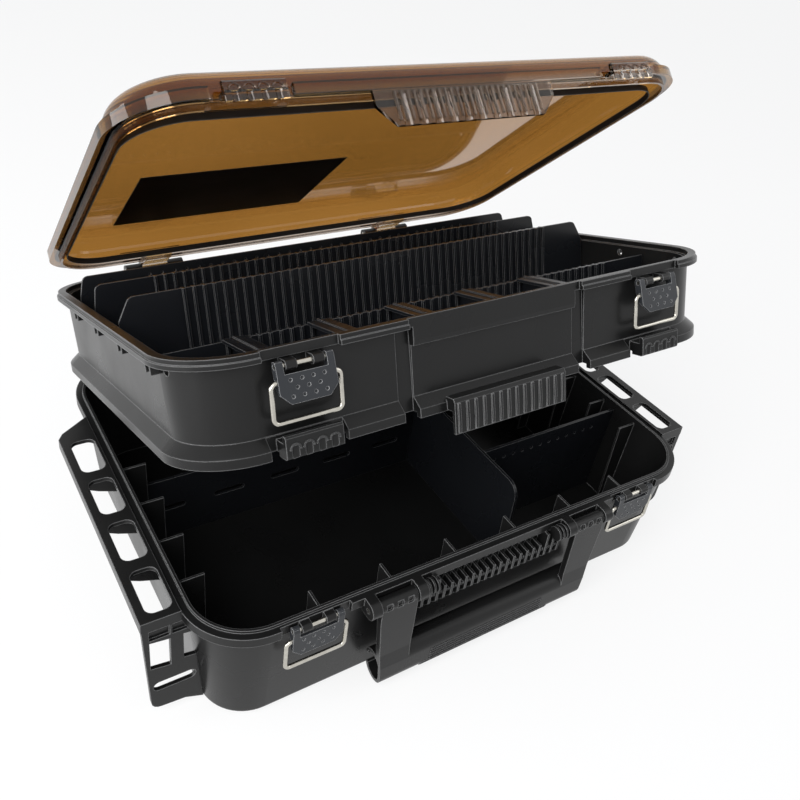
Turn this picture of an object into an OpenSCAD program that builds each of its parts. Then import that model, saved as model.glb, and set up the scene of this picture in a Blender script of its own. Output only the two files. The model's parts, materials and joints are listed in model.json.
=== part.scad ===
// Two-level fishing tackle case: a deep lower case with side racks, a shallow
// middle case with comb plates, and a clear lid. The middle case and the lid
// hinge at the back; four wire-bail latches and a folding handle sit in front.
// Frame: origin at the underside of the lower case, +X to the viewer's right,
// the handle and latches face -Y, +Z up. Modelled open, as it is displayed.

/* [Case plan] */
// Width over the rims
rim_w = 429; // [400:1:520]
// From the origin forwards to the front of the rims
rim_front = 172.5; // [155:0.5:210]
// From the origin back to the rear of the rims
rim_back = 150; // [140:0.5:190]
// Corner radius of the rims, seen from above
rim_r = 46; // [36:0.5:48]

/* [Heights] */
// Height of the lower case up to its deck
lower_h = 92.5; // [77:0.5:112]
// Height of the middle case
mid_h = 64; // [58:0.5:78]
// Height of the lid's crown above its rim face
crown_h = 22; // [20:0.5:30]

/* [Shell] */
// Wall thickness of the cases
wall = 2.6; // [2:0.1:3.1]
// Thickness of the floors
floor_t = 2.6; // [2:0.1:3.2]
// Width of the rim flanges
flange_w = 7; // [6.5:0.25:7.5]
// Draft of the lower case's walls, rim to floor
lower_draft = 8.6; // [6:0.2:10]
// Wall thickness of the clear lid
lid_wall = 2.5; // [2:0.1:3]

/* [Displayed pose] */
// Opening angle of the middle case
mid_open = 20; // [12:0.5:40]
// Opening angle of the lid to the middle case
lid_open = 22.5; // [12:0.5:60]

// Swing of the middle latch plates out from their case
plate_hang = 10; // [0:1:20]
// Lean of the middle bails from their plates towards the case
bail_lean = 13; // [0:1:13]

/* [Hinges] */
// From the back of the rims to the axis of the rear hinges
hinge_out = 23; // [8:0.5:26]
// From the middle line to each rear hinge
hinge_x = 120; // [90:1:140]
// Radius of the hinge, latch and handle rods
rod_r = 2; // [1.75:0.05:2.25]
// Radius of the rear hinge knuckles
knuckle_r = 5.5; // [5:0.1:5.5]
// Width of the moving knuckle of each rear hinge
knuckle_w = 22; // [16:1:30]

/* [Latches] */
// From the middle line to each latch
latch_x = 141; // [134:1:143]
// Width of a latch plate
plate_w = 36; // [32:0.5:37]
// Length of a latch plate below its rod
plate_l = 22; // [18:0.5:23]
// From the latch rod down to the bail's pivot
pivot_drop = 9; // [8.5:0.25:9.25]
// Radius of the bail wire
wire_r = 1.5; // [1.25:0.05:1.6]
// Length of a bail from its pivot to its crossbar
bail_l = 24; // [23:0.5:25]

/* [Handle] */
// Outer half width of the handle
handle_x = 99; // [94:0.5:104]
// Width of each handle arm
arm_w = 28; // [24:0.5:32]
// Height of the handle rods above the base
handle_drop = 6.5; // [6.2:0.1:7]
// Radius of the grip's rounded top and bottom
grip_r = 9.5; // [8:0.25:9.75]
// Height of the grip
grip_h = 30; // [26:0.5:32]

/* [Side racks] */
// How far a rack stands out from the rim
rack_w = 25.5; // [22:0.5:32]
// From the rack's front face to its back end
rack_l = 193; // [186:1:200]
// Length of a rack slot
slot_l = 37; // [32:0.5:38]
// Width of a rack slot
slot_w = 17; // [13:0.5:19]
// Number of slots in a rack
slot_n = 4; // [2:1:4]

/* [Middle case fittings] */
// Height of the comb plates above the middle case's rim
comb_rise = 14; // [8:0.5:16]
// Pitch of the comb ribs
comb_pitch = 7.2; // [6.6:0.1:7.4]
// Distance between front dividers, in comb ribs
divider_ribs = 8; // [7:1:8]

/* [Hidden] */
$fn = 64;

// Clearances
run_gap = 0.08;      // round a rod in a moving bore
side_gap = 0.4;      // beside a moving knuckle
seat_gap = 0.3;      // round a loose insert
close_gap = 0.1;     // between closed rims

// Plan: corner centres shared by every ring
cx = rim_w / 2 - rim_r;
cf = -(rim_front - rim_r);
cb = rim_back - rim_r;

// Lower case, radii from the corner centres
tongue_w = 2;
tongue_h = 2;
rim_in = rim_r - flange_w;
low_out_top = rim_in + wall;
low_out_bot = low_out_top - lower_draft;
low_in_bot = rim_in - lower_draft;
flange_h = 8;
foot_r = 5;
lower_top = lower_h + tongue_h;
function low_in(z) = low_in_bot + lower_draft * (z - floor_t) / (lower_top - floor_t);

// Middle case
skirt_out = rim_r - 0.3;
skirt_in = rim_in + tongue_w + 0.4;
skirt_h = 6;
ledge_h = 12.5;
mid_floor_z = tongue_h + 1;
mid_out_bot = rim_in - 0.5;
mid_out_top = mid_out_bot + 1.2;
mid_in_bot = mid_out_bot - wall;
mid_in_top = mid_out_top - wall;
mid_rim_out = rim_r + 0.8;
mid_rim_in = mid_rim_out - flange_w + 0.2;
mid_flange_h = 6;
rim_step = 3;
mid_floor_top = mid_floor_z + floor_t;

// Lid
lid_skirt_h = 7.5;
lip_h = 3;
lip_w = 2;
crown_out = rim_r - 3.5;
crown_r = 14;

// Front fittings
notch_half = 24.5;
notch_r = rim_r - 3;
latch_y = cf - rim_r - 0.5;
low_latch_drop = 3.5;
mid_latch_drop = 10;
rod_boss_r = 3;
latch_rod_r = 1.5;
ear_in = 5;
ear_out = 12;
bail_half = plate_w / 2 + 3.5;
bail_rise = bail_l - pivot_drop;
lug_half = bail_half - wire_r - 1.7;
lug_y = latch_y - 5.5;
grip_curtain_half = 68;
pull_half = 46;

// Handle
handle_y = cf - rim_r - 5.5;
handle_z = lower_h - handle_drop;
handle_boss_r = 5.2;
lug_disc_r = 6.5;
lug_w = 7.6;
grip_z = 4.5;
grip_y = handle_y + 3.5;
handle_taper = 6.5;

// Rear hinges
hinge_y = rim_back + hinge_out;
hinge_drop = knuckle_r + 3;
lid_hinge_drop = 2;
lid_knuckle_r = 5;
knuckle_side = 14;

// Racks
rack_top = lower_top;
rack_out = rim_w / 2 + rack_w;
rack_inset = 40.5;
rack_front = rack_inset - rim_front;
rack_skew = 0.68;
rack_back = rack_front + rack_l;
rack_t = 3.2;
rack_edge = 6;

// Combs
comb_y = -28.5;
comb_mid_y = 35.7;
rear_plate_y = 80;
tray_wall_y = -101;
comb_top = mid_h + comb_rise;
comb_end = cx + mid_in_bot - seat_gap - 0.3;
comb_core = 1.8;
comb_rib = 2;
comb_rib_w = 1.8;
comb_n = floor((rim_w / 2 - 55.5) / comb_pitch);
tray_top = mid_h - 9;

black = [0.10, 0.10, 0.10];
dark = [0.16, 0.16, 0.16];
grey = [0.30, 0.31, 0.33];
steel = [0.78, 0.77, 0.74];
amber = [0.62, 0.42, 0.16, 0.45];

// ---- Frames -------------------------------------------------------------

// Places children, drawn from the middle case's underside, at its open pose
module at_middle() {
    translate([0, hinge_y, lower_h - hinge_drop]) rotate([-mid_open, 0, 0])
        translate([0, -hinge_y, hinge_drop]) children();
}

// Places children, drawn from the lid's rim face, at its open pose
module at_lid() {
    at_middle() translate([0, hinge_y, mid_h - lid_hinge_drop])
        rotate([-lid_open, 0, 0])
            translate([0, -hinge_y, lid_hinge_drop]) children();
}

// ---- Shared forms -------------------------------------------------------

// Sweeps a profile of [distance out from the corner centre, height] round the plan
module ring(profile) {
    for (s = [-1, 1])
        translate([s * cx, cb, 0]) rotate([90, 0, 0])
            linear_extrude(cb - cf) scale([s, 1]) polygon(profile);
    translate([cx, cf, 0]) rotate([0, 0, -90]) rotate([90, 0, 0])
        linear_extrude(2 * cx) polygon(profile);
    translate([-cx, cb, 0]) rotate([0, 0, 90]) rotate([90, 0, 0])
        linear_extrude(2 * cx) polygon(profile);
    for (q = [[cx, cb, 0], [-cx, cb, 90], [-cx, cf, 180], [cx, cf, 270]])
        translate([q[0], q[1], 0]) rotate([0, 0, q[2]])
            rotate_extrude(angle = 90) polygon(profile);
}

// A level slab with the plan's corners at radius r
module slab(r, z, h) {
    translate([-cx - r, cf, z]) cube([2 * (cx + r), cb - cf, h]);
    translate([-cx, cf - r, z]) cube([2 * cx, cb - cf + 2 * r, h]);
    for (x = [-cx, cx], y = [cf, cb])
        translate([x, y, z]) cylinder(r = r, h = h);
}

// A bar along X
module rod(r, x0, x1) {
    translate([x0, 0, 0]) rotate([0, 90, 0]) cylinder(r = r, h = x1 - x0);
}

// A side outline of [y, z] points, drawn out along X
module along_x(x0, x1, outline) {
    translate([x0, 0, 0]) rotate([90, 0, 90])
        linear_extrude(x1 - x0) polygon(outline);
}

// A front outline of [x, z] points, drawn back along Y
module along_y(y0, y1, outline) {
    translate([0, y1, 0]) rotate([90, 0, 0])
        linear_extrude(y1 - y0) polygon(outline);
}

// Points of an arc, for outlines
function arc(x, y, r, a0, a1, n) =
    [for (i = [0 : n]) let (a = a0 + (a1 - a0) * i / n) [x + r * cos(a), y + r * sin(a)]];

// What a front notch takes away outside radius r
module front_notch(x, half, r, z, h) {
    translate([x - half, cf - r - 20, z]) cube([2 * half, 20, h]);
}

// ---- Latches and lugs ---------------------------------------------------

// Rod ears for a latch, drawn round the rod's axis, back to depth d
module latch_ears(d) {
    for (s = [-1, 1])
        translate([s > 0 ? ear_in : -ear_out, 0, 0]) {
            rod(rod_boss_r, 0, ear_out - ear_in);
            translate([0, 0, -rod_boss_r])
                cube([ear_out - ear_in, d, 2 * rod_boss_r]);
        }
}

// The hooked lug that a bail's crossbar drops over; top is the crossbar's seat,
// and its back part keeps a height of relief above what it closes on
module catch_lug(y_back, z0, top, apron, relief) {
    lip_y = latch_y - 2;
    difference() {
        union() {
            along_x(-lug_half, lug_half, concat(
                [[y_back, z0 + relief], [cf - skirt_in, z0 + relief], [cf - skirt_in, z0],
                    [lug_y + 2, z0]],
                arc(lug_y + 2, z0 + 2, 2, 270, 180, 3),
                [[lug_y, top + 3.5], [lug_y + 1, top + 4.7], [lip_y, top + 4.7], [lip_y, top],
                    [y_back, top]]));
            if (apron > 0)
                along_x(-lug_half, lug_half,
                    [[lug_y, z0 - apron], [lug_y + 1.9, z0 - apron],
                        [lug_y + 1.9, z0 + 1], [lug_y, z0 + 2.5]]);
        }
        for (i = [-1.5 : 1.5])
            translate([i * lug_half / 2.2, lug_y - 1.4, z0 - apron - 1])
                cylinder(r = 2.6, h = top - z0 + apron - 0.4);
    }
}

// A latch plate: dimpled skin, two side walls that carry rod and bail
module latch_plate() {
    half = plate_w / 2;
    arm = 4.6;
    front = -2.5;
    back = 2.8;
    skin = 2;
    difference() {
        union() {
            along_y(front, front + skin, [[-half, -5], [half, -5], [half, 6 - plate_l],
                [half - 6, -plate_l], [6 - half, -plate_l], [-half, 6 - plate_l]]);
            for (s = [-1, 1]) {
                x0 = s > 0 ? half - arm : -half;
                along_x(x0, x0 + arm, concat(arc(0, 0, rod_boss_r, 130, 0, 6),
                    [[back, -pivot_drop - 3], [front + skin, 6 - plate_l],
                        [front, 6 - plate_l], [front, 0]]));
            }
        }
        for (row = [0 : 2], i = [0 : 3])
            if (row != 1 || i < 3)
                translate([-10.5 + 7 * i + (row == 1 ? 3.5 : 0), front, -8.5 - 4.7 * row])
                    rotate([90, 0, 0]) cylinder(r = 1.1, h = 1.4, center = true);
        rod(latch_rod_r + run_gap, -half - 1, half + 1);
        translate([0, 0, -pivot_drop]) for (s = [-1, 1])
            rod(wire_r + run_gap, s > 0 ? half - arm - 1 : -half - 1,
                s > 0 ? half + 1 : arm + 1 - half);
    }
}

// A bail bent from one wire, drawn round its pivot
module bail() {
    bend = 3.5;
    inner = plate_w / 2 - 4;
    for (s = [-1, 1]) {
        translate([s * bail_half, 0, -bail_l + bend])
            cylinder(r = wire_r, h = bail_l - 2 * bend);
        rod(wire_r, s > 0 ? inner : bend - bail_half, s > 0 ? bail_half - bend : -inner);
        translate([s * (bail_half - bend), 0, -bend]) rotate([90, s > 0 ? 0 : 270, 0])
            rotate_extrude(angle = 90) translate([bend, 0]) circle(r = wire_r);
        translate([s * (bail_half - bend), 0, bend - bail_l]) rotate([90, s > 0 ? 90 : 180, 0])
            rotate_extrude(angle = 90) translate([bend, 0]) circle(r = wire_r);
    }
    translate([0, 0, -bail_l]) rod(wire_r, bend - bail_half, bail_half - bend);
}

module latch_rod() { color(steel) rod(latch_rod_r, 0.3 - plate_w / 2, plate_w / 2 - 0.3); }

// Places a latch part on the lower (level 0) or middle (level 1) case
module at_latch(level, side) {
    if (level == 0)
        translate([side * latch_x, latch_y, lower_h - low_latch_drop]) children();
    else
        at_middle() translate([side * latch_x, latch_y, mid_h - mid_latch_drop])
            rotate([-plate_hang, 0, 0]) children();
}

// ---- Rear hinge knuckles ------------------------------------------------

// The two fixed knuckles of a hinge, drawn round the rod's axis
module fixed_knuckles(r, reach) {
    web = 2.4;
    for (s = [-1, 1]) {
        x0 = s > 0 ? knuckle_w / 2 + side_gap : -knuckle_w / 2 - side_gap - knuckle_side;
        rod(r, x0, x0 + knuckle_side);
        translate([x0, -reach, -r]) cube([knuckle_side, reach, r]);
        // gusset webs under the arm
        for (x = [x0, x0 + knuckle_side - web])
            along_x(x, x + web, [[-reach - 1, -r - 12], [-r, -r + 0.5], [-reach, -r + 0.5]]);
    }
}

// The moving knuckle: a barrel with an arm up to the shell it carries
module moving_knuckle(r, drop, reach, top) {
    rod(r, -knuckle_w / 2, knuckle_w / 2);
    translate([-knuckle_w / 2, -r, 0]) cube([knuckle_w, 2 * r, drop + 1]);
    translate([-knuckle_w / 2, -reach, drop + close_gap]) cube([knuckle_w, reach + r, top]);
}

// ---- Lower case ---------------------------------------------------------

module lower_shell() {
    floor_r = low_out_bot - foot_r - 1;
    ring(concat([[floor_r, 0]],
        arc(low_out_bot - foot_r, foot_r, foot_r, 270, 360, 6),
        [[low_out_top - 0.8, lower_h - flange_h], [rim_r, lower_h - flange_h + 1],
            [rim_r, lower_h], [rim_in + tongue_w, lower_h], [rim_in + tongue_w, lower_top],
            [rim_in, lower_top], [low_in_bot, floor_t], [floor_r, floor_t]]));
    slab(floor_r + 0.5, 0, floor_t);
}

// Short upright guides on the walls that hold the loose dividers
module lower_guides() {
    top = lower_h - 3;
    guide = 1.8;
    for (x = [27, 81, 135], s = [-1, 1])
        translate([s * x - guide / 2, 0, 0]) along_x(0, guide,
            [[cf - low_in(floor_t) - 1, floor_t - 1], [cf - rim_in - 1, top],
                [cf - rim_in + 17, top], [cf - rim_in + 18, floor_t - 1]]);
    for (y = [-105, -66, -26, 14], s = [-1, 1])
        along_y(y - guide / 2, y + guide / 2, [[s * (cx + low_in(floor_t) + 1), floor_t - 1],
            [s * (cx + rim_in + 1), top], [s * (cx + rim_in - 18), top],
            [s * (cx + rim_in - 19), floor_t - 1]]);
}

// The comb of fins behind the handle, lower in the middle for the pull tab
module handle_comb() {
    half = handle_x - arm_w - lug_w - 0.8;
    low = lower_h - 37;
    wall_y = cf - low_out_top + 4;
    fin = 2;
    pitch = (2 * half - fin) / 20;
    for (i = [0 : 20]) {
        x = -half + i * pitch;
        top = abs(x + fin / 2) < pull_half + 2 ? lower_h - 15.5 : lower_h - 7;
        along_x(x, x + fin, [[wall_y, low], [cf - rim_r + 1, low + 3], [cf - rim_r - 4, low + 9],
            [cf - rim_r - 4, top], [wall_y, top]]);
    }
    translate([-half, cf - rim_r - 2.5, lower_h - 24]) cube([2 * half, wall_y - cf + rim_r + 2.5, 2]);
}

module handle_lugs() {
    for (s = [-1, 1]) translate([0, handle_y, handle_z])
        for (x = [handle_x + side_gap, handle_x - arm_w - side_gap - lug_w]) {
            x0 = s > 0 ? x : -x - lug_w;
            rod(lug_disc_r, x0, x0 + lug_w);
            translate([x0, 0, -lug_disc_r])
                cube([lug_w, -handle_y + cf - low_out_top + 2, 2 * lug_disc_r]);
        }
}

module lower_case() {
    color(black) difference() {
        union() {
            difference() {
                lower_shell();
                for (s = [-1, 1])
                    front_notch(s * latch_x, notch_half, notch_r, lower_h - flange_h - 1, 20);
            }
            lower_guides();
            handle_comb();
            handle_lugs();
            for (s = [-1, 1]) {
                translate([s * latch_x, latch_y, lower_h - low_latch_drop])
                    latch_ears(cf - low_out_top + 1.5 - latch_y);
                translate([s * hinge_x, hinge_y, lower_h - hinge_drop])
                    fixed_knuckles(knuckle_r, hinge_y - cb - low_out_top + 1.5);
            }
        }
        for (s = [-1, 1]) {
            translate([s * latch_x, latch_y, lower_h - low_latch_drop])
                rod(latch_rod_r, -ear_out - 1, ear_out + 1);
            translate([s * hinge_x, hinge_y, lower_h - hinge_drop]) rod(rod_r, -40, 40);
            translate([s * (handle_x - arm_w / 2), handle_y, handle_z])
                rod(rod_r, -arm_w, arm_w);
        }
    }
}

// ---- Side racks ---------------------------------------------------------

// What the lower case fills, so that a rack ends flush on its drafted wall
module lower_fill() {
    r_in = low_out_bot - 8;
    ring([[r_in, -1], [low_out_bot, -1], [low_out_bot, foot_r],
        [low_out_top - 0.8, lower_h - flange_h], [rim_r, lower_h - flange_h + 1],
        [rim_r, rack_top + 1], [r_in, rack_top + 1]]);
}

module slot_cut(x0, x1, y0, y1, z0, h, r) {
    translate([x0 + r, y0, z0]) cube([x1 - x0 - 2 * r, y1 - y0, h]);
    translate([x0, y0 + r, z0]) cube([x1 - x0, y1 - y0 - 2 * r, h]);
    for (x = [x0 + r, x1 - r], y = [y0 + r, y1 - r]) translate([x, y, z0]) cylinder(r = r, h = h);
}

// The upright front frame with its windows, in [x, z] from the rim's edge
module rack_front_frame() {
    x_in = cx + low_out_bot - 2;
    x_out = rack_out;
    foot = 0.2 * lower_h;
    frame_t = 3;
    bar = 4;
    win_x = x_out - 26.5;
    difference() {
        along_y(rack_front, rack_front + frame_t, concat(
            [[x_in, 2], [cx + low_out_bot + 12, foot * 0.45]],
            arc(x_out - 11, foot - 2, 7, 270, 360, 4),
            [[x_out, rack_top], [x_in, rack_top]]));
        for (w = [[x_out - 18, x_out - 5, 48, 73], [x_in, win_x, 48, 71]])
            along_y(rack_front - 1, rack_front + frame_t + 1, [[w[0], w[2] * lower_h / 92.5],
                [w[1], w[2] * lower_h / 92.5 + 2], [w[1], w[3] * lower_h / 92.5 + 2],
                [w[0], w[3] * lower_h / 92.5]]);
        for (x = [x_out - 11.5, x_out - 26])
            translate([x - 6.5, rack_front - 1, lower_h - 15.5]) cube([13, 3.2, 8.5]);
        // the long round-ended slot near the foot
        for (x = [x_out - 10, x_out - 30]) translate([x, rack_front + frame_t + 1, lower_h / 3])
            rotate([90, 0, 0]) cylinder(r = bar, h = frame_t + 2);
        translate([x_out - 30, rack_front - 1, lower_h / 3 - bar])
            cube([20, frame_t + 2, 2 * bar]);
    }
}

// Plan of a rack's deck, inset by d along its outer edge and its slanting back
function rack_plan(x_in, y0, d) = let (x1 = rack_out - 4 - 0.6 * d, y1 = rack_back + 4 - d)
    [[x_in, y0], [rack_out - d, y0], [rack_out - d, rack_back - 2 - 0.4 * d], [x1, y1],
        [x_in, y1 + (x1 - x_in) * rack_skew]];

// A right-hand rack: slotted deck, hanging edge, webs between slots, front frame
module rack() {
    x_in = cx + low_out_bot - 1;
    pitch = (rack_l - 5) / slot_n;
    slot_x1 = rack_out - rack_edge;
    gap = pitch - slot_l;
    edge_h = 8;
    difference() {
        union() {
            difference() {
                translate([0, 0, rack_top - rack_t]) linear_extrude(rack_t)
                    polygon(rack_plan(x_in, rack_front, 0));
                for (i = [0 : slot_n - 1])
                    slot_cut(slot_x1 - slot_w, slot_x1, rack_front + gap / 2 + 1 + i * pitch,
                        rack_front + gap / 2 + 1 + i * pitch + slot_l, rack_top - rack_t - 1,
                        rack_t + 2, 5.5);
            }
            translate([0, 0, rack_top - edge_h]) difference() {
                linear_extrude(edge_h) polygon(rack_plan(x_in, rack_front, 0));
                translate([0, 0, -1]) linear_extrude(edge_h + 2)
                    polygon(rack_plan(x_in - 1, rack_front - 1, 2.4));
            }
            for (i = [1 : slot_n - 1])
                along_y(rack_front + i * pitch - 1, rack_front + i * pitch + 1,
                    [[x_in, rack_top - 24], [rack_out - 14, rack_top - 14],
                        [rack_out - 1, rack_top - 7], [rack_out - 1, rack_top - 1],
                        [x_in, rack_top - 1]]);
            rack_front_frame();
        }
        lower_fill();
    }
}

module rack_right() { color(black) rack(); }
module rack_left() { color(black) mirror([1, 0, 0]) rack(); }

// ---- Loose dividers in the lower case -----------------------------------

divider_t = 2.4;
cross_x = 58;
right_y = -80;
left_y = 20;
low_divider_top = lower_h - 4.5;

module divider_cross() {
    y0 = cf - 1;
    color(dark) along_x(cross_x - divider_t / 2, cross_x + divider_t / 2, concat(
        [[cb + low_in(floor_t) - seat_gap, floor_t],
            [cb + low_in(low_divider_top) - seat_gap, low_divider_top]],
        arc(y0 + 12, low_divider_top - 12, 12, 90, 180, 6), [[y0, floor_t]]));
}

// Upright pill-shaped openings in a row
module pill_row(xs, y, z, w, h) {
    for (x = xs) {
        translate([x - w / 2 + h / 2, y - 5, z - h / 2]) cube([w - h, 10, h]);
        for (s = [-1, 1]) translate([x + s * (w - h) / 2, y + 5, z])
            rotate([90, 0, 0]) cylinder(r = h / 2, h = 10);
    }
}

module divider_right() {
    x0 = cross_x + divider_t / 2 + seat_gap;
    color(dark) difference() {
        along_y(right_y - divider_t / 2, right_y + divider_t / 2,
            [[x0, floor_t], [cx + low_in(floor_t) - seat_gap, floor_t],
                [cx + low_in(low_divider_top) - seat_gap, low_divider_top],
                [x0, low_divider_top]]);
        for (x = [x0 + 12 : 10 : cx + low_in_bot - 12])
            translate([x, right_y + divider_t, low_divider_top - 12])
                rotate([90, 0, 0]) cylinder(r = 1.4, h = 2 * divider_t);
    }
}

module divider_left() {
    top = lower_h * 0.68;
    x1 = cross_x - divider_t / 2 - seat_gap;
    color(dark) difference() {
        along_y(left_y - divider_t / 2, left_y + divider_t / 2,
            [[-cx - low_in(floor_t) + seat_gap, floor_t], [x1, floor_t], [x1, top],
                [-cx - low_in(top) + seat_gap, top]]);
        pill_row([-171 : 50 : x1 - 15], left_y, top / 2 + 2, 26, 5);
    }
}

// ---- Rods of the rear hinges --------------------------------------------

rod_half = knuckle_w / 2 + side_gap + knuckle_side;

module hinge_rod(side) {
    color(steel) translate([side * hinge_x, hinge_y, lower_h - hinge_drop])
        rod(rod_r, -rod_half, rod_half);
}

module lid_rod(side) {
    color(steel) at_middle() translate([side * hinge_x, hinge_y, mid_h - lid_hinge_drop])
        rod(rod_r, -rod_half, rod_half);
}

// ---- Middle case --------------------------------------------------------

module middle_shell() {
    ring([[mid_in_bot - 1.5, mid_floor_z], [skirt_in, mid_floor_z], [skirt_in, close_gap],
        [skirt_out, close_gap], [skirt_out, skirt_h], [skirt_out - 0.8, skirt_h + 0.8],
        [mid_out_bot, ledge_h],
        [mid_out_top, mid_h - mid_flange_h], [mid_rim_out, mid_h - mid_flange_h],
        [mid_rim_out, mid_h - rim_step], [mid_rim_out - 1.2, mid_h - rim_step],
        [mid_rim_out - 1.2, mid_h], [mid_rim_in, mid_h], [mid_rim_in, mid_h - 4],
        [mid_in_top, mid_h - 4], [mid_in_bot, mid_floor_top],
        [mid_in_bot - 1.5, mid_floor_top]]);
    slab(mid_in_bot - 1, mid_floor_z, floor_t);
}

// Webs under the rim flange, one beside each vent hole
vent_pitch = 60.7;
vent_y = -14.5;
vent_n = 2;

module rim_webs() {
    for (s = [-1, 1], i = [1 - vent_n : vent_n])
        along_y(vent_y + i * vent_pitch - 5, vent_y + i * vent_pitch - 3.5,
            [[s * (cx + mid_out_top - 1), mid_h - mid_flange_h - 8],
                [s * (cx + mid_rim_out - 1), mid_h - mid_flange_h + 1],
                [s * (cx + mid_out_top - 1), mid_h - mid_flange_h + 1]]);
}

module vent_holes() {
    for (s = [-1, 1], i = [-vent_n : vent_n])
        translate([s * (cx + mid_out_top + 4), vent_y + i * vent_pitch, mid_h - mid_flange_h - 4])
            rotate([0, -s * 90, 0]) cylinder(r = 2.5, h = 12);
}

// The pull tab that hangs in front of the lower case's comb
module pull_tab() {
    y0 = cf - rim_r - 5.5;
    along_x(-pull_half, pull_half, [[cf - skirt_out + 1, 1], [y0, 1], [y0, -14],
        [y0 - 2.2, -14], [y0 - 2.6, 7], [y0 - 1, 9.5], [cf - skirt_out + 1, 9.5]]);
    for (i = [-6.5 : 6.5])
        along_x(i * 6.6 - 1, i * 6.6 + 1,
            [[y0 - 1, -14], [y0 - 3, -13], [y0 - 3.6, -6], [y0 - 3.4, 6.5], [y0 - 1, 7]]);
}

module middle_case() {
    groove_x = 71.5;
    color(black) at_middle() difference() {
        union() {
            difference() {
                middle_shell();
                for (s = [-1, 1]) {
                    // latch recesses, in the ledge and in the rim
                    front_notch(s * latch_x, notch_half, mid_out_bot + 0.4, -1, ledge_h + 3);
                    front_notch(s * latch_x, notch_half, notch_r, mid_h - 20, 30);
                    // upright grooves beside the front panel
                    front_notch(s * groove_x, 5.5, mid_out_bot - 1, -1, mid_h - 6);
                }
                front_notch(0, grip_curtain_half + 2, notch_r, mid_h - 30, 40);
            }
            // raised band that the lid's grip covers
            along_x(2 - grip_curtain_half, grip_curtain_half - 2,
                [[cf - notch_r, mid_h - 1], [cf - notch_r, mid_h - 15],
                    [cf - notch_r + 0.6, mid_h - 18], [cf - mid_out_top + 1, mid_h - 18],
                    [cf - mid_out_top + 1, mid_h - 4.5], [cf - mid_rim_in, mid_h - 4.5],
                    [cf - mid_rim_in, mid_h - 1]]);
            rim_webs();
            pull_tab();
            for (s = [-1, 1]) {
                translate([s * latch_x, 0, 0])
                    catch_lug(cf - mid_out_bot + 1, 0.3,
                        bail_rise - low_latch_drop - wire_r - 0.2, 0, tongue_h + 0.4);
                translate([s * latch_x, latch_y, mid_h - mid_latch_drop])
                    latch_ears(cf - mid_out_top + 1 - latch_y);
                translate([s * hinge_x, hinge_y, -hinge_drop])
                    moving_knuckle(knuckle_r, hinge_drop, hinge_y - cb - skirt_out + 2.5, 9);
                translate([s * hinge_x, hinge_y, mid_h - lid_hinge_drop])
                    fixed_knuckles(lid_knuckle_r, hinge_y - cb - mid_rim_in - 0.2);
            }
        }
        vent_holes();
        for (s = [-1, 1]) {
            translate([s * latch_x, latch_y, mid_h - mid_latch_drop])
                rod(latch_rod_r, -ear_out - 1, ear_out + 1);
            translate([s * hinge_x, hinge_y, -hinge_drop]) rod(rod_r + run_gap, -40, 40);
            translate([s * hinge_x, hinge_y, mid_h - lid_hinge_drop]) rod(rod_r, -40, 40);
        }
    }
}

// ---- Comb plates and dividers of the middle case ------------------------

// A plate ribbed on both faces over its middle, seen from above
module ribbed_section() {
    c = comb_core / 2;
    r = c + comb_rib;
    w = comb_rib_w / 2;
    front = [for (i = [-comb_n : comb_n]) each [[i * comb_pitch - w, -c],
        [i * comb_pitch - w, -r], [i * comb_pitch + w, -r], [i * comb_pitch + w, -c]]];
    back = [for (i = [comb_n : -1 : -comb_n]) each [[i * comb_pitch + w, c],
        [i * comb_pitch + w, r], [i * comb_pitch - w, r], [i * comb_pitch - w, c]]];
    polygon(concat([[-comb_end, -c]], front, [[comb_end, -c], [comb_end, c]], back,
        [[-comb_end, c]]));
}

// The end outline of a plate that rises above the rim to a width of 2 * top_x
module plate_outline(top, top_x, depth) {
    half = concat([[comb_end, mid_floor_top], [comb_end, min(top, mid_h - 2)]],
        top > mid_h ? arc(top_x - 5, top - 5, 5, 25, 90, 3) : []);
    left = [for (i = [len(half) - 1 : -1 : 0]) [-half[i][0], half[i][1]]];
    along_y(-depth, depth, concat(half, left));
}

module comb_plate(y, top_x) {
    color(dark) at_middle() translate([0, y, 0]) intersection() {
        translate([0, 0, mid_floor_top]) linear_extrude(comb_top) ribbed_section();
        plate_outline(comb_top, top_x, 4);
    }
}

module comb_plate_front() { comb_plate(comb_y, rim_w / 2 - 17.5); }
module comb_plate_middle() { comb_plate(comb_mid_y, rim_w / 2 - 12.5); }

module rear_plate() {
    color(dark) at_middle() translate([0, rear_plate_y, 0]) difference() {
        plate_outline(comb_top, rim_w / 2 - 13.5, comb_core / 2);
        for (x = [-150 : 10 : 150])
            translate([x, 3, comb_top - 6]) rotate([90, 0, 0]) cylinder(r = 1.1, h = 6);
    }
}

module tray_wall() {
    color(dark) at_middle() translate([0, tray_wall_y, 0]) intersection() {
        translate([0, 0, mid_floor_top]) linear_extrude(tray_top - mid_floor_top)
            ribbed_section();
        plate_outline(tray_top, comb_end, 4);
    }
}

// A front divider: a thin web with a wide flat cap, sat in a groove of the tray wall
module tray_divider(i) {
    cap_w = 15;
    web = 2.4;
    x = (-comb_n + 0.5 + i * divider_ribs) * comb_pitch;
    y0 = cf - mid_in_bot + seat_gap;
    y1 = tray_wall_y - comb_core / 2 - seat_gap;
    y_cap = y1 - comb_rib - seat_gap;
    color(dark) at_middle() translate([x, 0, 0]) {
        translate([-web / 2, y0, mid_floor_top]) cube([web, y1 - y0, tray_top - mid_floor_top]);
        translate([-cap_w / 2, y0, tray_top]) cube([cap_w, y_cap - y0, 2.2]);
        translate([-0.7, y0, tray_top + 2]) cube([1.4, y_cap - y0, 1.2]);
    }
}

// ---- Lid ----------------------------------------------------------------

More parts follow.
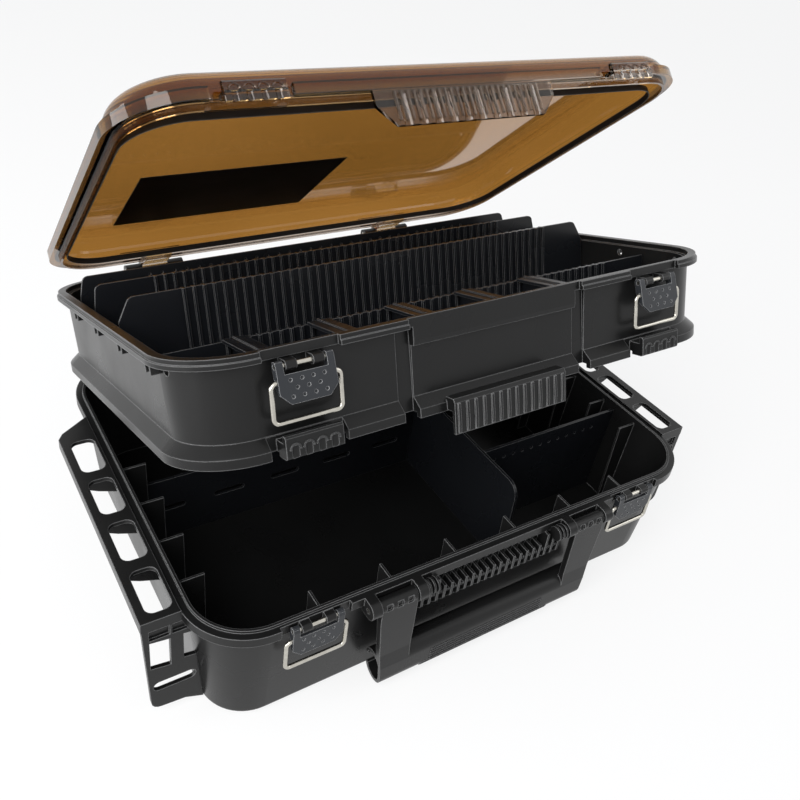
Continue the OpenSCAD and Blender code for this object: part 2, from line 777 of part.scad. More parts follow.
// The finger grip that hangs from the lid's front edge
module lid_grip() {
    y0 = cf - mid_rim_out;
    drop = 22.5;
    t = 2.6;
    difference() {
        along_y(y0, y0 + t, [[-grip_curtain_half, 1], [-grip_curtain_half, -10],
            [12 - grip_curtain_half, -drop], [grip_curtain_half - 12, -drop],
            [grip_curtain_half, -10], [grip_curtain_half, 1]]);
        for (i = [-4.5 : 4.5])
            translate([i * 11, y0 - 2.6, -drop - 1]) cylinder(r = 4, h = drop - 2);
    }
}

module lid() {
    lip_out = mid_rim_in - 0.3;
    color(amber) at_lid() difference() {
        union() {
            difference() {
                union() {
                    ring(concat([[lip_out - lip_w, -lip_h], [lip_out, -lip_h],
                        [lip_out, close_gap], [mid_rim_out, close_gap],
                        [mid_rim_out, lid_skirt_h], [crown_out, lid_skirt_h]],
                        arc(crown_out - crown_r, crown_h - crown_r, crown_r, 0, 90, 8),
                        [[crown_out - crown_r - 1, crown_h],
                            [crown_out - crown_r - 1, crown_h - lid_wall]],
                        arc(crown_out - crown_r, crown_h - crown_r, crown_r - lid_wall, 90, 0, 8),
                        [[crown_out - lid_wall, 2.5], [lip_out - lip_w, 2.5]]));
                    slab(crown_out - crown_r - 0.5, crown_h - lid_wall, lid_wall);
                }
                for (s = [-1, 1]) front_notch(s * latch_x, notch_half, notch_r, -1, 30);
            }
            lid_grip();
            for (s = [-1, 1]) {
                translate([s * latch_x, 0, 0])
                    catch_lug(cf - crown_out + 1, 0.3,
                        bail_rise - mid_latch_drop - wire_r - 0.2, 4, 0.1);
                translate([s * hinge_x, hinge_y, -lid_hinge_drop])
                    moving_knuckle(lid_knuckle_r, lid_hinge_drop,
                        hinge_y - cb - mid_rim_out + 2, 6);
            }
        }
        for (s = [-1, 1])
            translate([s * hinge_x, hinge_y, -lid_hinge_drop]) rod(rod_r + run_gap, -40, 40);
    }
}

// A plain dark film stuck under the crown
module lid_film() {
    film_t = 0.3;
    color(black) at_lid() translate([-163, -5, crown_h - lid_wall - film_t])
        cube([163, 107, film_t]);
}

// ---- Handle -------------------------------------------------------------

// Side outline of the grip: a tall rounded section, round top and bottom
module grip_section(r) {
    translate([grip_y, grip_z + grip_r]) circle(r = r);
    translate([grip_y, grip_z + grip_h - grip_r]) circle(r = r);
    translate([grip_y - r, grip_z + grip_r]) square([2 * r, grip_h - 2 * grip_r]);
}

module handle() {
    arm_t = 5;
    shell = 2.4;
    inner = handle_x - arm_w;
    color(black) intersection() {
        // its ends slope in towards the bottom
        along_y(grip_y - 20, handle_y + 20, [[-handle_x, handle_z + 10],
            [-handle_x, handle_z - 12], [handle_taper - handle_x, 0],
            [handle_x - handle_taper, 0], [handle_x, handle_z - 12], [handle_x, handle_z + 10]]);
        difference() {
            union() {
                translate([-handle_x, 0, 0]) rotate([90, 0, 90])
                    linear_extrude(2 * handle_x) grip_section(grip_r);
                for (s = [-1, 1]) {
                    x0 = s > 0 ? inner : -handle_x;
                    along_x(x0, x0 + arm_w, [[handle_y - arm_t, handle_z],
                        [handle_y, handle_z], [handle_y, grip_z + grip_h - grip_r],
                        [grip_y - grip_r, grip_z + grip_h - grip_r - 6],
                        [grip_y - grip_r, grip_z + grip_h - grip_r],
                        [handle_y - arm_t, grip_z + grip_h + 4]]);
                    translate([0, handle_y, handle_z]) rod(handle_boss_r, x0, x0 + arm_w);
                }
                // fine ribs along the grip
                for (a = [195, 208, 221, 234, 247])
                    translate([0, grip_y + grip_r * cos(a), grip_z + grip_r + grip_r * sin(a)])
                        rod(0.7, 12 - inner, inner - 12);
            }
            // hollow of the grip, open at its ends and towards the case
            translate([-handle_x - 1, 0, 0]) rotate([90, 0, 90])
                linear_extrude(2 * handle_x + 2) grip_section(grip_r - shell);
            translate([-handle_x - 1, grip_y + grip_r - shell - 1, grip_z + grip_r])
                cube([2 * handle_x + 2, shell + 2, grip_h - 2 * grip_r]);
            translate([0, handle_y, handle_z]) rod(rod_r + run_gap, -handle_x - 1, handle_x + 1);
            // shallow pockets in the front of each barrel
            for (s = [-1, 1], i = [-1 : 1])
                translate([s * (handle_x - arm_w / 2) + i * arm_w / 3.4 - 2.2,
                    handle_y - handle_boss_r - 1, handle_z - 2]) cube([4.4, 2.6, 5]);
        }
    }
}

module handle_rod(side) {
    reach = arm_w / 2 + side_gap + lug_w;
    color(steel) translate([side * (handle_x - arm_w / 2), handle_y, handle_z])
        rod(rod_r, -reach, reach);
}

// ---- Nodes --------------------------------------------------------------

module latch_set(level, side, part) {
    at_latch(level, side) {
        if (part == "plate") color(grey) latch_plate();
        if (part == "bail") color(steel) translate([0, 0, -pivot_drop])
            rotate([level == 0 ? 0 : bail_lean, 0, 0]) bail();
        if (part == "rod") latch_rod();
    }
}

lower_case();
rack_left();
rack_right();
divider_cross();
divider_right();
divider_left();
hinge_rod(-1);  // hinge_rod_left
hinge_rod(1);  // hinge_rod_right
middle_case();
comb_plate_front();
comb_plate_middle();
rear_plate();
tray_wall();
for (i = [1 : 5])
    tray_divider(i - 1);
lid();
lid_film();
lid_rod(-1);  // lid_rod_left
lid_rod(1);  // lid_rod_right
handle();
handle_rod(-1);  // handle_rod_left
handle_rod(1);  // handle_rod_right
for (level = [0, 1], side = [-1, 1]) {
    place = str(level == 0 ? "lower_" : "middle_", side < 0 ? "left" : "right");
    latch_set(level, side, "plate");
    latch_set(level, side, "bail");
    latch_set(level, side, "rod");
}
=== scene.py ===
"""Looks for a two-level fishing tackle case, shown open: black moulded cases,
a clear smoked lid, comb plates, wire-bail latches and a folding handle."""
import json
import math

import bmesh
import bpy
from mathutils import Matrix, Vector


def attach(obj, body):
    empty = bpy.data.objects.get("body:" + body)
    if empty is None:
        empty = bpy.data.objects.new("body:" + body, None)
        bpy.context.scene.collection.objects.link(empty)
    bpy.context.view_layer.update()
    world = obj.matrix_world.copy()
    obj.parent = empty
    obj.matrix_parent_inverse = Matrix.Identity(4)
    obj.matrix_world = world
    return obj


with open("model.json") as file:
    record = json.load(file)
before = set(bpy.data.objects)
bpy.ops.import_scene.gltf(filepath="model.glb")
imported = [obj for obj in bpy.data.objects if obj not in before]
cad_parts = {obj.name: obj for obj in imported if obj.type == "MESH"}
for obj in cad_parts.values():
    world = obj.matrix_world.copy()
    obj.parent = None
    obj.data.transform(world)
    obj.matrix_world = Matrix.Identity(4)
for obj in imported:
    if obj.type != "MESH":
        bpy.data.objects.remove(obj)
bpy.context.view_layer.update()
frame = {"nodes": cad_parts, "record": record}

# ---- Camera ----------------------------------------------------------------
# The photograph was taken from the front left, a little above the open lid's
# edge, with the camera rolled a few degrees and the object off its centre.
MM = 0.001
CAMERA_AT = Vector((-331.4, -483.6, 532.1)) * MM
LOOK_AZIMUTH, LOOK_DOWN, ROLL = (math.radians(a) for a in (37.41, 32.30, 8.67))
LENS_MM = 38.81
CENTRE_PX = (420.35, 346.76)
FRAME_PX = 800
NEAREST_SEEN = 0.01

forward = Vector((math.sin(LOOK_AZIMUTH) * math.cos(LOOK_DOWN),
                  math.cos(LOOK_AZIMUTH) * math.cos(LOOK_DOWN), -math.sin(LOOK_DOWN)))
level_right = Vector((math.cos(LOOK_AZIMUTH), -math.sin(LOOK_AZIMUTH), 0))
level_up = level_right.cross(forward)
right = level_right * math.cos(ROLL) + level_up * math.sin(ROLL)
up = right.cross(forward)

camera = bpy.data.objects.new("camera", bpy.data.cameras.new("camera"))
bpy.context.scene.collection.objects.link(camera)
camera.matrix_world = Matrix((right, up, -forward)).transposed().to_4x4()
camera.location = CAMERA_AT
camera.data.lens = LENS_MM
camera.data.shift_x = (FRAME_PX / 2 - CENTRE_PX[0]) / FRAME_PX
camera.data.shift_y = (CENTRE_PX[1] - FRAME_PX / 2) / FRAME_PX
camera.data.clip_start = NEAREST_SEEN
bpy.context.scene.camera = camera

# ---- Floor and light -------------------------------------------------------
# A pale floor, a white surround, and three large soft lamps: a key from the
# upper left, a fill from the right and a low strip that draws the left walls.
WHITE = (1, 1, 1, 1)
SURROUND_TINT, SURROUND_LIGHT = (0.93, 0.96, 1.0, 1), 0.55
FLOOR_HALF, FLOOR_PAINT, FLOOR_ROUGH = 20, (0.93, 0.93, 0.93, 1), 0.9
FLOOR_WHITENED = 0.80
SUBJECT = (0, 0, 0.12)
LAMPS = (("key", (-1.3, -0.8, 1.5), SUBJECT, (1.2, 1.2), 28),
         ("fill", (1.4, -1.0, 1.1), SUBJECT, (1.0, 1.0), 4),
         ("left_strip", (-1.5, 0.1, 0.45), (-0.2, 0, 0.1), (1.4, 0.7), 15))
bpy.context.scene.view_settings.view_transform = "Standard"


def shader(name):
    """A new material with its nodes and its Principled BSDF."""
    material = bpy.data.materials.new(name)
    material.use_nodes = True
    tree = material.node_tree
    return material, tree, tree.nodes["Principled BSDF"]


def light_path_mix(tree, lit, shown):
    """Shows one shader to the camera, mirrors and glass, and lights with the other."""
    path = tree.nodes.new("ShaderNodeLightPath")
    straight = tree.nodes.new("ShaderNodeMath")
    straight.operation = "MAXIMUM"
    seen = tree.nodes.new("ShaderNodeMath")
    seen.operation = "MAXIMUM"
    mix = tree.nodes.new("ShaderNodeMixShader")
    tree.links.new(path.outputs["Is Camera Ray"], straight.inputs[0])
    tree.links.new(path.outputs["Is Transmission Ray"], straight.inputs[1])
    tree.links.new(straight.outputs[0], seen.inputs[0])
    tree.links.new(path.outputs["Is Glossy Ray"], seen.inputs[1])
    tree.links.new(seen.outputs[0], mix.inputs[0])
    tree.links.new(lit, mix.inputs[1])
    tree.links.new(shown, mix.inputs[2])
    return mix.outputs[0]


surround = bpy.data.worlds.new("surround")
bpy.context.scene.world = surround
surround.use_nodes = True
surround_tree = surround.node_tree
surround_lit = surround_tree.nodes["Background"]
surround_lit.inputs["Color"].default_value = SURROUND_TINT
surround_lit.inputs["Strength"].default_value = SURROUND_LIGHT
surround_shown = surround_tree.nodes.new("ShaderNodeBackground")
surround_shown.inputs["Color"].default_value = WHITE
surround_tree.links.new(
    light_path_mix(surround_tree, surround_lit.outputs[0], surround_shown.outputs[0]),
    surround_tree.nodes["World Output"].inputs["Surface"])

floor_mesh = bpy.data.meshes.new("floor")
floor_build = bmesh.new()
bmesh.ops.create_grid(floor_build, x_segments=1, y_segments=1, size=FLOOR_HALF)
floor_build.to_mesh(floor_mesh)
floor_build.free()
floor = bpy.data.objects.new("floor", floor_mesh)
bpy.context.scene.collection.objects.link(floor)
floor_finish, floor_tree, floor_bsdf = shader("floor_paint")
floor_bsdf.inputs["Base Color"].default_value = FLOOR_PAINT
floor_bsdf.inputs["Roughness"].default_value = FLOOR_ROUGH
floor_white = floor_tree.nodes.new("ShaderNodeEmission")
floor_pale = floor_tree.nodes.new("ShaderNodeMixShader")
floor_pale.inputs[0].default_value = FLOOR_WHITENED
floor_tree.links.new(floor_bsdf.outputs[0], floor_pale.inputs[1])
floor_tree.links.new(floor_white.outputs[0], floor_pale.inputs[2])
floor_tree.links.new(
    light_path_mix(floor_tree, floor_bsdf.outputs[0], floor_pale.outputs[0]),
    floor_tree.nodes["Material Output"].inputs["Surface"])
floor.data.materials.append(floor_finish)

for name, at, aim, size, watts in LAMPS:
    lamp = bpy.data.lights.new(name, "AREA")
    lamp.shape = "RECTANGLE"
    lamp.size, lamp.size_y = size
    lamp.energy = watts
    holder = bpy.data.objects.new(name, lamp)
    bpy.context.scene.collection.objects.link(holder)
    holder.location = at
    holder.rotation_euler = (Vector(aim) - Vector(at)).to_track_quat("-Z", "Y").to_euler()

# ---- Black moulded cases ---------------------------------------------------
# Lower case, side racks, middle case and handle are injection-moulded black
# polypropylene: a fine satin grain, faint flow marks, and edges painted paler as a highlight.
GRAIN_SCALE, GRAIN_DETAIL, GRAIN_LIFT = 900.0, 3.0, 0.3 * MM
FLOW_SCALE, FLOW_DETAIL, FLOW_RANGE = 14.0, 4.0, (0.3, 0.7)
# The edge mask marks where the softened normal turns away from the face; those edges get a paler
# painted highlight.
HIGHLIGHT_FROM, HIGHLIGHT_FULL, EDGE_SAMPLES = 0.995, 0.80, 6
PLASTIC_SPECULAR = 0.24
nodes = frame["nodes"]


def tone_mix(tree, first=None, second=None):
    """A mix of two tones; a tone that isn't given here is linked in later."""
    mix = tree.nodes.new("ShaderNodeMix")
    mix.data_type = "RGBA"
    for socket, tone in (("A", first), ("B", second)):
        if tone:
            mix.inputs[socket].default_value = (*tone, 1)
    return mix


def stretch(tree, reads, gives, soft=False):
    """A map-range node from one pair of values to another."""
    node = tree.nodes.new("ShaderNodeMapRange")
    if soft:
        node.interpolation_type = "SMOOTHSTEP"
    node.inputs["From Min"].default_value, node.inputs["From Max"].default_value = reads
    node.inputs["To Min"].default_value, node.inputs["To Max"].default_value = gives
    return node


def moulded_grain():
    """A node group: moulded grain over softened edges, with a flow mask and an edge mask for a
    painted highlight.
    """
    group = bpy.data.node_groups.new("moulded_grain", "ShaderNodeTree")
    for label, value in (("Scale", GRAIN_SCALE), ("Depth", 0.15), ("Edge", 0.8 * MM)):
        socket = group.interface.new_socket(label, in_out="INPUT", socket_type="NodeSocketFloat")
        socket.default_value = value
    for label, kind in (("Normal", "Vector"), ("Mask", "Float"), ("Rim", "Float")):
        group.interface.new_socket(label, in_out="OUTPUT", socket_type="NodeSocket" + kind)
    enter = group.nodes.new("NodeGroupInput")
    leave = group.nodes.new("NodeGroupOutput")
    place = group.nodes.new("ShaderNodeTexCoord")
    fine = group.nodes.new("ShaderNodeTexNoise")
    fine.inputs["Detail"].default_value = GRAIN_DETAIL
    flow = group.nodes.new("ShaderNodeTexNoise")
    flow.inputs["Scale"].default_value = FLOW_SCALE
    flow.inputs["Detail"].default_value = FLOW_DETAIL
    bump = group.nodes.new("ShaderNodeBump")
    bump.inputs["Distance"].default_value = GRAIN_LIFT
    soft_edge = group.nodes.new("ShaderNodeBevel")
    soft_edge.samples = EDGE_SAMPLES
    true_face = group.nodes.new("ShaderNodeNewGeometry")
    turn = group.nodes.new("ShaderNodeVectorMath")
    turn.operation = "DOT_PRODUCT"
    rim = stretch(group, (HIGHLIGHT_FROM, HIGHLIGHT_FULL), (0, 1))
    for source, target in (
            (enter.outputs["Edge"], soft_edge.inputs["Radius"]),
            (soft_edge.outputs["Normal"], bump.inputs["Normal"]),
            (soft_edge.outputs["Normal"], turn.inputs[0]),
            (true_face.outputs["Normal"], turn.inputs[1]),
            (turn.outputs["Value"], rim.inputs["Value"]),
            (rim.outputs["Result"], leave.inputs["Rim"]),
            (place.outputs["Object"], fine.inputs["Vector"]),
            (place.outputs["Object"], flow.inputs["Vector"]),
            (enter.outputs["Scale"], fine.inputs["Scale"]),
            (enter.outputs["Depth"], bump.inputs["Strength"]),
            (fine.outputs["Fac"], bump.inputs["Height"]),
            (bump.outputs["Normal"], leave.inputs["Normal"]),
            (flow.outputs["Fac"], leave.inputs["Mask"])):
        group.links.new(source, target)
    return group


grain = moulded_grain()


def moulded_plastic(name, tones, gloss_range, depth, edge_highlight=0.10, edge=0.8):
    """Moulded plastic: tone and gloss drift with the flow, and edges of some mm get a paler
    painted highlight.
    """
    material, tree, bsdf = shader(name)
    bsdf.inputs["Specular IOR Level"].default_value = PLASTIC_SPECULAR
    surface = tree.nodes.new("ShaderNodeGroup")
    surface.node_tree = grain
    surface.inputs["Depth"].default_value = depth
    surface.inputs["Edge"].default_value = edge * MM
    tone = tone_mix(tree, *tones)
    # Painted highlight: edges are mixed towards a pale grey where the real edges catch the
    # light.
    highlit_edge = tone_mix(tree, second=(edge_highlight, edge_highlight, edge_highlight))
    gloss = stretch(tree, FLOW_RANGE, gloss_range)
    tree.links.new(surface.outputs["Rim"], highlit_edge.inputs["Factor"])
    tree.links.new(tone.outputs["Result"], highlit_edge.inputs["A"])
    tree.links.new(surface.outputs["Mask"], tone.inputs["Factor"])
    tree.links.new(surface.outputs["Mask"], gloss.inputs["Value"])
    tree.links.new(highlit_edge.outputs["Result"], bsdf.inputs["Base Color"])
    tree.links.new(gloss.outputs["Result"], bsdf.inputs["Roughness"])
    tree.links.new(surface.outputs["Normal"], bsdf.inputs["Normal"])
    return material


def finish_node(node, material):
    """Gives a CAD node its one material."""
    shape = nodes[node].data
    shape.materials.clear()
    shape.materials.append(material)


case_black = moulded_plastic("case_black", ((0.006, 0.006, 0.006), (0.011, 0.011, 0.011)),
                             (0.24, 0.36), 0.12, edge_highlight=0.20, edge=1.0)
for node in ("lower_case", "rack_left", "rack_right", "middle_case", "handle"):
    finish_node(node, case_black)

# ---- Handle lug discs and grip ribs ----------------------------------------
# Three thin discs stand beside each inner handle lug on the lower case, and
# fine ribs run along the front of the grip; both are moulded with their piece.
HANDLE_AXIS = (-178, 86)
DISC_X = (61.2, 57.8, 54.4)
DISC_RADIUS, DISC_THICK, DISC_EDGE, DISC_SIDES = 5.9, 1.7, 0.35, 32
DISC_CORNER = math.radians(60)
GRIP_FRONT_Y, GRIP_RIB_HALF, GRIP_RIB_RADIUS = -183.9, 52, 0.65
GRIP_RIB_Z = (12.4, 15.0, 17.6, 20.2, 22.8)
RIB_SIDES = 8
SMOOTH_BELOW = math.radians(40)
body_of = {node: body for body, group in frame["record"]["behaviour"]["bodies"].items()
           for node in group}


def place_piece(build, name, material, node):
    """Makes an object of a bmesh and lets it ride with the body of a CAD node."""
    mesh = bpy.data.meshes.new(name)
    bmesh.ops.recalc_face_normals(build, faces=build.faces)
    build.to_mesh(mesh)
    build.free()
    piece = bpy.data.objects.new(name, mesh)
    bpy.context.scene.collection.objects.link(piece)
    mesh.materials.append(material)
    mesh.shade_smooth()
    mesh.set_sharp_from_angle(angle=SMOOTH_BELOW)
    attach(piece, body_of[node])


def solid_bar(build, radius, start, end, sides):
    """Adds a closed round bar to a bmesh, between two points in mm."""
    start, end = Vector(start) * MM, Vector(end) * MM
    run = end - start
    turn = run.to_track_quat("Z", "Y").to_matrix().to_4x4()
    bmesh.ops.create_cone(build, cap_ends=True, segments=sides, radius1=radius * MM,
                          radius2=radius * MM, depth=run.length,
                          matrix=Matrix.Translation((start + end) / 2) @ turn)


disc_build = bmesh.new()
for side in (-1, 1):
    for disc_x in DISC_X:
        solid_bar(disc_build, DISC_RADIUS, (side * disc_x - DISC_THICK / 2, *HANDLE_AXIS),
                  (side * disc_x + DISC_THICK / 2, *HANDLE_AXIS), DISC_SIDES)
disc_rims = [edge for edge in disc_build.edges if edge.calc_face_angle(0) > DISC_CORNER]
bmesh.ops.bevel(disc_build, geom=disc_rims, offset=DISC_EDGE * MM, affect="EDGES", segments=2,
                profile=0.5, material=-1)
place_piece(disc_build, "handle_lug_discs", case_black, "lower_case")

grip_build = bmesh.new()
for rib_z in GRIP_RIB_Z:
    solid_bar(grip_build, GRIP_RIB_RADIUS, (-GRIP_RIB_HALF, GRIP_FRONT_Y, rib_z),
              (GRIP_RIB_HALF, GRIP_FRONT_Y, rib_z), RIB_SIDES)
place_piece(grip_build, "grip_ribs", case_black, "handle")

# ---- Middle case: rim pockets and lug arches -------------------------------
# Small open pockets hang under the side flanges of the middle case, and each
# catch lug has four moulded arches over its flutes; all are black plastic.
MIDDLE_OPEN = 20
POCKET_SIZE, POCKET_WALL = (6.2, 10, 6.4), 1.1
POCKET_X, POCKET_Z = 210.8, 54.9
POCKET_Y = (54, -5.5, -65, -124.5)
OPEN_SIDE = 0.9
ARCH_RADIUS, ARCH_WIRE, ARCH_PITCH, ARCH_STEPS = 3.2, 0.75, 8.32, 10
LATCH_X, LUG_FRONT_Y, MIDDLE_ARCH_FOOT = 141, -178.5, 6.2


def opened(pin, degrees, zero):
    """Where a hinged case stands when it is open: its pin, and its own zero from there."""
    return (Matrix.Translation(Vector(pin) * MM)
            @ Matrix.Rotation(math.radians(-degrees), 4, "X")
            @ Matrix.Translation(Vector(zero) * MM))


def set_down(build, place):
    """Moves a whole bmesh to its place."""
    bmesh.ops.transform(build, matrix=place, verts=build.verts)


middle_to_world = opened((0, 173, 84), MIDDLE_OPEN, (0, -173, 8.5))
pocket_build = bmesh.new()
for side in (-1, 1):
    for pocket_y in POCKET_Y:
        block = Matrix.Translation(Vector((side * POCKET_X, pocket_y, POCKET_Z)) * MM)
        block @= Matrix.Diagonal((*(length * MM for length in POCKET_SIZE), 1))
        corners = bmesh.ops.create_cube(pocket_build, size=1, matrix=block)["verts"]
        open_faces = [face for face in {face for vert in corners for face in vert.link_faces}
                      if face.normal.x * side > OPEN_SIDE or face.normal.z < -OPEN_SIDE]
        bmesh.ops.delete(pocket_build, geom=open_faces, context="FACES")
bmesh.ops.solidify(pocket_build, geom=list(pocket_build.faces), thickness=POCKET_WALL * MM)
set_down(pocket_build, middle_to_world)
place_piece(pocket_build, "rim_pockets", case_black, "middle_case")


def lug_arches(foot):
    """Four half-round arches on the front of both lugs, their feet at a height in mm."""
    build = bmesh.new()
    for side in (-1, 1):
        for step in (-1.5, -0.5, 0.5, 1.5):
            ring = bmesh.ops.create_circle(build, segments=RIB_SIDES,
                                           radius=ARCH_WIRE * MM)["verts"]
            bmesh.ops.translate(build, vec=(ARCH_RADIUS * MM, 0, 0), verts=ring)
            edges = list({edge for vert in ring for edge in vert.link_edges})
            swept = bmesh.ops.spin(build, geom=ring + edges, cent=(0, 0, 0), axis=(0, 1, 0),
                                   angle=-math.pi, steps=ARCH_STEPS)["geom_last"]
            ends = edges + [edge for edge in swept if isinstance(edge, bmesh.types.BMEdge)]
            bmesh.ops.holes_fill(build, edges=ends, sides=RIB_SIDES)
            fresh = [vert for vert in build.verts if not vert.tag]
            bmesh.ops.translate(build, verts=fresh, vec=Vector(
                (side * LATCH_X + step * ARCH_PITCH, LUG_FRONT_Y, foot)) * MM)
            for vert in fresh:
                vert.tag = True
    return build


middle_arches = lug_arches(MIDDLE_ARCH_FOOT)
set_down(middle_arches, middle_to_world)
place_piece(middle_arches, "middle_lug_arches", case_black, "middle_case")

# ---- Comb plates and dividers ----------------------------------------------
# The plates and dividers that drop into the cases are moulded in the same
# black plastic with a glossier face, which looks blue-black under the lamps.
insert_black = moulded_plastic("insert_black", ((0.006, 0.0065, 0.008), (0.010, 0.011, 0.013)),
                               (0.20, 0.32), 0.08, edge_highlight=0.13, edge=0.7)
for node in body_of:
    if node.startswith(("comb_", "rear_plate", "tray_", "divider_")):
        finish_node(node, insert_black)

# ---- Latches ---------------------------------------------------------------
# Each latch is a dark grey moulded plate on a steel rod, with a bail bent
# from bright drawn wire that drops over the lug of the case above.
STEEL_TONES, STEEL_GLOSS = ((0.40, 0.38, 0.34), (0.62, 0.60, 0.54)), (0.16, 0.34)
STEEL_STREAKS = 220.0
# The latch plates carry a strong painted highlight on their edges and dimple rims, in place of
# their glints.
latch_grey = moulded_plastic("latch_grey", ((0.020, 0.022, 0.025), (0.030, 0.032, 0.036)),
                             (0.26, 0.38), 0.12, edge_highlight=0.55, edge=0.4)


def drawn_steel():
    """Bright drawn wire: metal with a faint change of tone and gloss along it."""
    material, tree, bsdf = shader("drawn_steel")
    bsdf.inputs["Metallic"].default_value = 1.0
    place = tree.nodes.new("ShaderNodeTexCoord")
    streak = tree.nodes.new("ShaderNodeTexNoise")
    streak.inputs["Scale"].default_value = STEEL_STREAKS
    tone = tone_mix(tree, *STEEL_TONES)
    gloss = stretch(tree, (0, 1), STEEL_GLOSS)
    tree.links.new(place.outputs["Object"], streak.inputs["Vector"])
    tree.links.new(streak.outputs["Fac"], tone.inputs["Factor"])
    tree.links.new(streak.outputs["Fac"], gloss.inputs["Value"])
    tree.links.new(tone.outputs["Result"], bsdf.inputs["Base Color"])
    tree.links.new(gloss.outputs["Result"], bsdf.inputs["Roughness"])
    return material


steel = drawn_steel()
for node in body_of:
    if node.startswith("latch_plate"):
        finish_node(node, latch_grey)
    elif node.startswith("bail") or "_rod" in node:
        finish_node(node, steel)

# ---- Clear lid -------------------------------------------------------------
# The lid is one clear smoked moulding: amber through its crown, where it is
# thick to the light, grey in the front skirt and lugs, dark brown at the ends.
LID_OPEN = 22.5
LID_TILT = math.radians(MIDDLE_OPEN + LID_OPEN)
LID_UP = Vector((0, math.sin(LID_TILT), math.cos(LID_TILT)))
FILM_ABOVE_LIP = 0.0192
LID_LIP = min(LID_UP.dot(vert.co) for vert in nodes["lid_film"].data.vertices) - FILM_ABOVE_LIP
SKIRT_TOP, CROWN_FOOT = 0.0030, 0.0060
ENDS_FROM, ENDS_FULL = 0.150, 0.206
SKIRT_GREY, ENDS_BROWN = (0.44, 0.38, 0.33), (0.16, 0.085, 0.030)
CROWN_AMBERS = ((0.24, 0.105, 0.016), (0.42, 0.20, 0.045))
SMOKE_SCALE, SMOKE_DETAIL = 5.0, 1.0
LID_ROUGH, LID_IOR = 0.04, 1.45

lid_clear, lid_tree, lid_bsdf = shader("smoked_clear")
lid_place = lid_tree.nodes.new("ShaderNodeTexCoord")
lid_height = lid_tree.nodes.new("ShaderNodeVectorMath")
lid_height.operation = "DOT_PRODUCT"
lid_height.inputs[1].default_value = LID_UP
lid_crown = stretch(lid_tree, (LID_LIP + SKIRT_TOP, LID_LIP + CROWN_FOOT), (0, 1), soft=True)
lid_split = lid_tree.nodes.new("ShaderNodeSeparateXYZ")
lid_across = lid_tree.nodes.new("ShaderNodeMath")
lid_across.operation = "ABSOLUTE"
lid_ends = stretch(lid_tree, (ENDS_FROM, ENDS_FULL), (0, 1), soft=True)
lid_skirt = tone_mix(lid_tree, SKIRT_GREY, ENDS_BROWN)
lid_smoke = lid_tree.nodes.new("ShaderNodeTexNoise")
lid_smoke.inputs["Scale"].default_value = SMOKE_SCALE
lid_smoke.inputs["Detail"].default_value = SMOKE_DETAIL
lid_amber = tone_mix(lid_tree, *CROWN_AMBERS)
lid_tone = tone_mix(lid_tree)
for source, target in (
        (lid_place.outputs["Object"], lid_smoke.inputs["Vector"]),
        (lid_smoke.outputs["Fac"], lid_amber.inputs["Factor"]),
        (lid_amber.outputs["Result"], lid_tone.inputs["B"]),
        (lid_place.outputs["Object"], lid_split.inputs[0]),
        (lid_split.outputs["X"], lid_across.inputs[0]),
        (lid_across.outputs[0], lid_ends.inputs["Value"]),
        (lid_ends.outputs["Result"], lid_skirt.inputs["Factor"]),
        (lid_skirt.outputs["Result"], lid_tone.inputs["A"]),
        (lid_place.outputs["Object"], lid_height.inputs[0]),
        (lid_height.outputs["Value"], lid_crown.inputs["Value"]),
        (lid_crown.outputs["Result"], lid_tone.inputs["Factor"]),
        (lid_tone.outputs["Result"], lid_bsdf.inputs["Base Color"])):
    lid_tree.links.new(source, target)
lid_bsdf.inputs["Roughness"].default_value = LID_ROUGH
lid_bsdf.inputs["IOR"].default_value = LID_IOR
lid_bsdf.inputs["Transmission Weight"].default_value = 1.0
finish_node("lid", lid_clear)

# ---- Lid film --------------------------------------------------------------
# A plain dark film is stuck under the lid's crown. It is matt and nearly
# black, so that it doesn't mirror the white surround.
FILM_SPECULAR, FILM_IOR = 0.04, 1.2
film_dark = moulded_plastic("film_dark", ((0.004, 0.002, 0.001), (0.007, 0.004, 0.002)),
                            (0.35, 0.5), 0.02)
film_bsdf = film_dark.node_tree.nodes["Principled BSDF"]
film_bsdf.inputs["Specular IOR Level"].default_value = FILM_SPECULAR
film_bsdf.inputs["IOR"].default_value = FILM_IOR
finish_node("lid_film", film_dark)
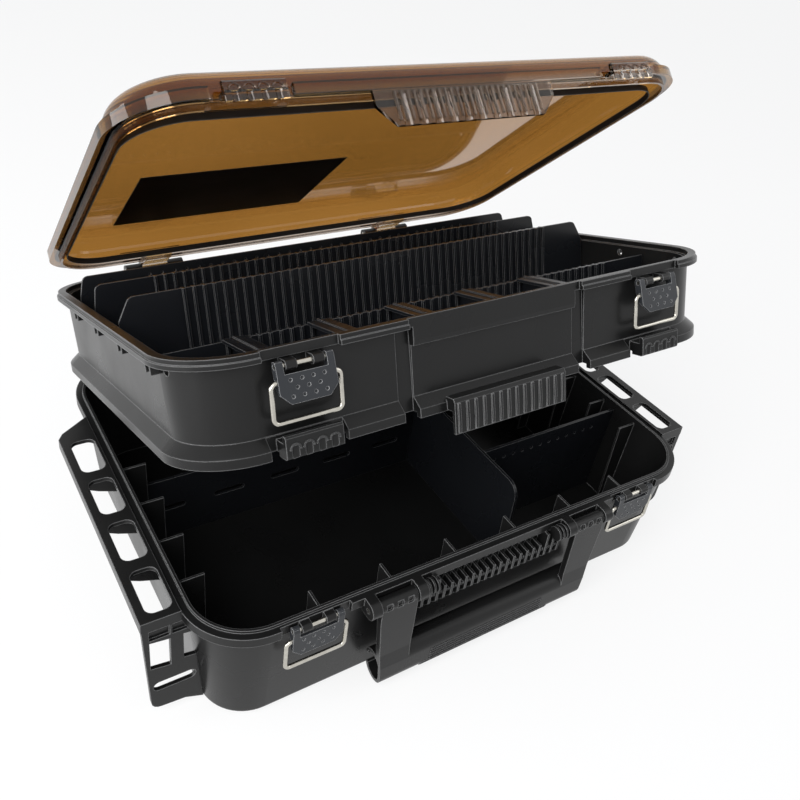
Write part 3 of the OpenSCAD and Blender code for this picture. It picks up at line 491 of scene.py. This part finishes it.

# ---- Lid dark strip --------------------------------------------------------
# A thin black strip runs round the inside of the lid's lip and shows through
# the clear skirt as a dark line; it is a plain strip pressed into the corner.
DARK_STRIP_HALF, DARK_STRIP_CENTRE_Y = (204.4 * MM, 140.9 * MM), -11.25 * MM
DARK_STRIP_CORNER, DARK_STRIP_CORNER_STEPS = 36.5 * MM, 14
DARK_STRIP_THICK, DARK_STRIP_LOW, DARK_STRIP_HIGH = 0.5 * MM, -2.4 * MM, 2.2 * MM
lid_to_world = middle_to_world @ opened((0, 173, 62), LID_OPEN, (0, -173, 2))
dark_strip_build = bmesh.new()
bmesh.ops.create_grid(dark_strip_build, x_segments=1, y_segments=1, size=1)
bmesh.ops.scale(dark_strip_build, vec=(*DARK_STRIP_HALF, 1), verts=dark_strip_build.verts)
bmesh.ops.translate(dark_strip_build, vec=(0, DARK_STRIP_CENTRE_Y, DARK_STRIP_LOW),
                    verts=dark_strip_build.verts)
bmesh.ops.bevel(dark_strip_build, geom=list(dark_strip_build.verts), offset=DARK_STRIP_CORNER,
                affect="VERTICES", segments=DARK_STRIP_CORNER_STEPS, profile=0.5, material=-1)
bmesh.ops.inset_region(dark_strip_build, faces=list(dark_strip_build.faces), thickness=DARK_STRIP_THICK,
                       use_boundary=True, use_even_offset=True)
inside_face = max(dark_strip_build.faces, key=lambda face: face.calc_area())
bmesh.ops.delete(dark_strip_build, geom=[inside_face], context="FACES")
grown = bmesh.ops.extrude_face_region(dark_strip_build, geom=list(dark_strip_build.faces))["geom"]
bmesh.ops.translate(dark_strip_build, vec=(0, 0, DARK_STRIP_HIGH - DARK_STRIP_LOW),
                    verts=[part for part in grown if isinstance(part, bmesh.types.BMVert)])
set_down(dark_strip_build, lid_to_world)
dark_strip_finish = moulded_plastic("dark_strip_black", ((0.006, 0.005, 0.005), (0.012, 0.010, 0.009)),
                         (0.5, 0.7), 0.1)
place_piece(dark_strip_build, "lid_dark_strip", dark_strip_finish, "lid")

# ---- Lid grip ribs and lug arches ------------------------------------------
# Fine upright ribs cover the lid's finger grip and arches frame the flutes of
# its lugs; they are part of the clear moulding and catch the light.
LID_RIB_HALF, LID_RIB_PITCH, LID_RIB_RADIUS = 54, 4.5, 1.1
LID_RIB_Y, LID_RIB_LOW, LID_RIB_HIGH = -173.5, -19.5, -1.5
LID_ARCH_FOOT = 2.4
rib_build = bmesh.new()
for index in range(round(2 * LID_RIB_HALF / LID_RIB_PITCH) + 1):
    rib_x = index * LID_RIB_PITCH - LID_RIB_HALF
    solid_bar(rib_build, LID_RIB_RADIUS, (rib_x, LID_RIB_Y, LID_RIB_LOW),
              (rib_x, LID_RIB_Y, LID_RIB_HIGH), RIB_SIDES)
set_down(rib_build, lid_to_world)
place_piece(rib_build, "lid_grip_ribs", lid_clear, "lid")
lid_arches = lug_arches(LID_ARCH_FOOT)
set_down(lid_arches, lid_to_world)
place_piece(lid_arches, "lid_lug_arches", lid_clear, "lid")
